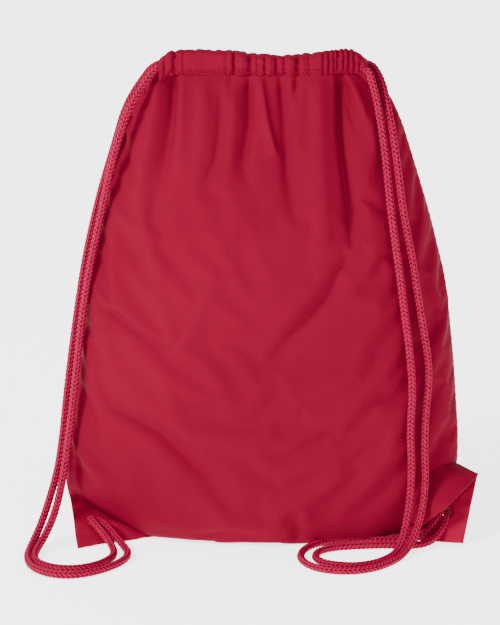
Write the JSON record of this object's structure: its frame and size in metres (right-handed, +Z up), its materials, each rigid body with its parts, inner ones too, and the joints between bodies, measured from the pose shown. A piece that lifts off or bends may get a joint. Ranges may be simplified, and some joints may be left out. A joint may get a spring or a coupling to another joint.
{
  "type": "drawstring backpack",
  "caption": "Filled drawstring backpack: gathered casings over a lens-shaped pouch, corner tabs with sewn eyelets, and doubled braided cords that serve as shoulder straps.",
  "frame": {"origin": "on the floor, under the middle of the bag without its free cords", "axes": "+X to the right seen from the front, -Y to the front, +Z up"},
  "size_m": [0.3781, 0.1895, 0.42],
  "materials": {
    "shell_cloth": "plain-weave nylon, slightly satin",
    "seam_tape": "plain-weave binding tape",
    "thread": "sewing thread",
    "braided_cord": "diamond-braided polyester cord"
  },
  "bodies": {
    "pouch": {"front_panel": "shell_cloth", "front_hem": "shell_cloth", "front_hem_stitching": "thread", "left_corner_tab": "shell_cloth", "right_corner_tab": "shell_cloth", "left_eyelet": "thread", "right_eyelet": "thread", "left_tab_stitching": "thread", "right_tab_stitching": "thread", "left_seam_tape": "seam_tape", "right_seam_tape": "seam_tape", "base_seam_tape": "seam_tape", "left_cord_turn": "braided_cord", "right_cord_turn": "braided_cord", "left_strap_front": "braided_cord", "left_strap_back": "braided_cord", "right_strap_front": "braided_cord", "right_strap_back": "braided_cord", "left_knot": "braided_cord", "right_knot": "braided_cord"},
    "back": {"back_panel": "shell_cloth", "back_hem": "shell_cloth", "back_hem_stitching": "thread"},
    "left_cord": {"left_cord_front_run": "braided_cord"},
    "right_cord": {"right_cord_front_run": "braided_cord"},
    "left_cord_back": {"left_cord_back_run": "braided_cord"},
    "right_cord_back": {"right_cord_back_run": "braided_cord"}
  },
  "joints": [
    {"name": "mouth_open", "type": "hinge", "parent": "pouch", "child": "back", "pos_m": [0, 0.02, 0.001], "axis": [-1, 0, 0], "range_deg": [0, 5], "deforming": ["left_cord_turn", "right_cord_turn", "left_strap_back", "right_strap_back"]},
    {"name": "left_cord_pull", "type": "slide", "parent": "pouch", "child": "left_cord", "axis": [-1, 0, 0], "range_m": [0, 0.025], "deforming": ["left_strap_front"]},
    {"name": "right_cord_pull", "type": "slide", "parent": "pouch", "child": "right_cord", "axis": [1, 0, 0], "range_m": [0, 0.025], "deforming": ["right_strap_front"]},
    {"name": "left_cord_back_pull", "type": "slide", "parent": "back", "child": "left_cord_back", "axis": [-1, 0, 0], "range_m": [0, 0.025]},
    {"name": "right_cord_back_pull", "type": "slide", "parent": "back", "child": "right_cord_back", "axis": [1, 0, 0], "range_m": [0, 0.025]}
  ],
  "couplings": [
    {"joint": "left_cord_back_pull", "follows": "left_cord_pull", "ratio": 1},
    {"joint": "right_cord_back_pull", "follows": "right_cord_pull", "ratio": 1}
  ]
}
